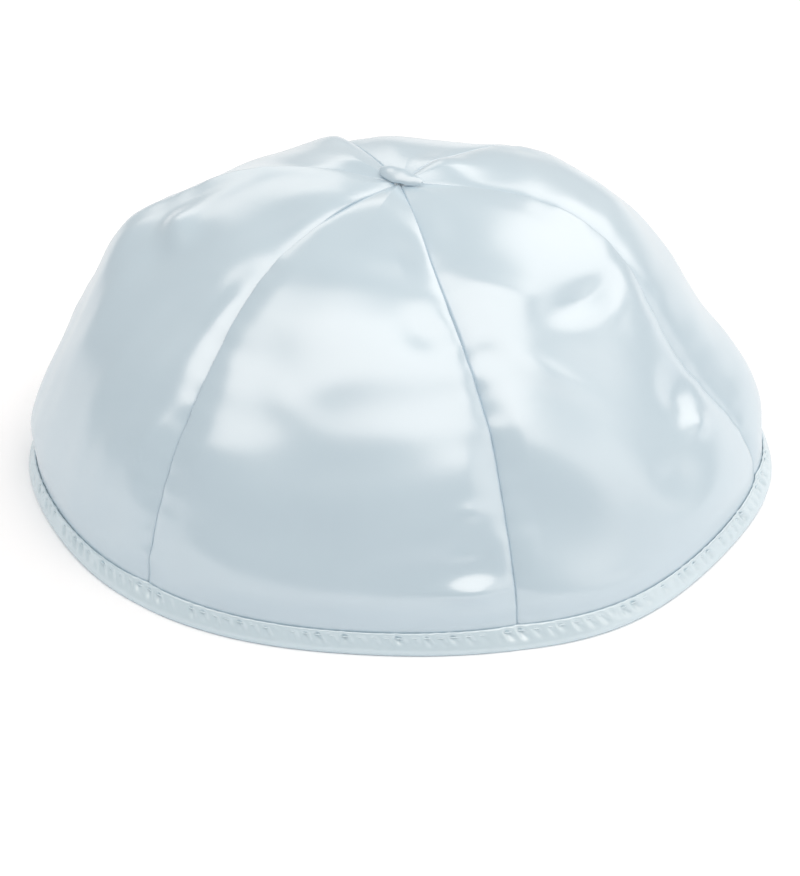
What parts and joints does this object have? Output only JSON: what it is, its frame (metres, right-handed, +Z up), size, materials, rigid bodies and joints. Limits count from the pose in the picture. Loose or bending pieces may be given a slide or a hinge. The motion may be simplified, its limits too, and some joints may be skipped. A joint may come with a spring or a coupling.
{
  "type": "kippah skullcap",
  "caption": "Deep round satin skullcap sewn from wedge-shaped gores, with a narrow binding folded over the hem and a small tuck where the gores meet at the crown.",
  "frame": {"origin": "middle of the cap's outline, on the surface that the hem rests on", "axes": "+Z up out of the crown, -Y towards the front of the cap, +X to the right as seen from the front"},
  "size_m": [0.1812, 0.1772, 0.0772],
  "materials": {
    "satin": "pale ice-blue polyester satin, glossy face",
    "binding": "pale ice-blue satin strip, folded and topstitched"
  },
  "bodies": {
    "root": {"gore_back": "satin", "gore_back_left": "satin", "gore_front_left": "satin", "gore_front": "satin", "gore_front_right": "satin", "gore_back_right": "satin", "crown_tuck": "satin", "hem_binding": "binding"}
  },
  "joints": []
}
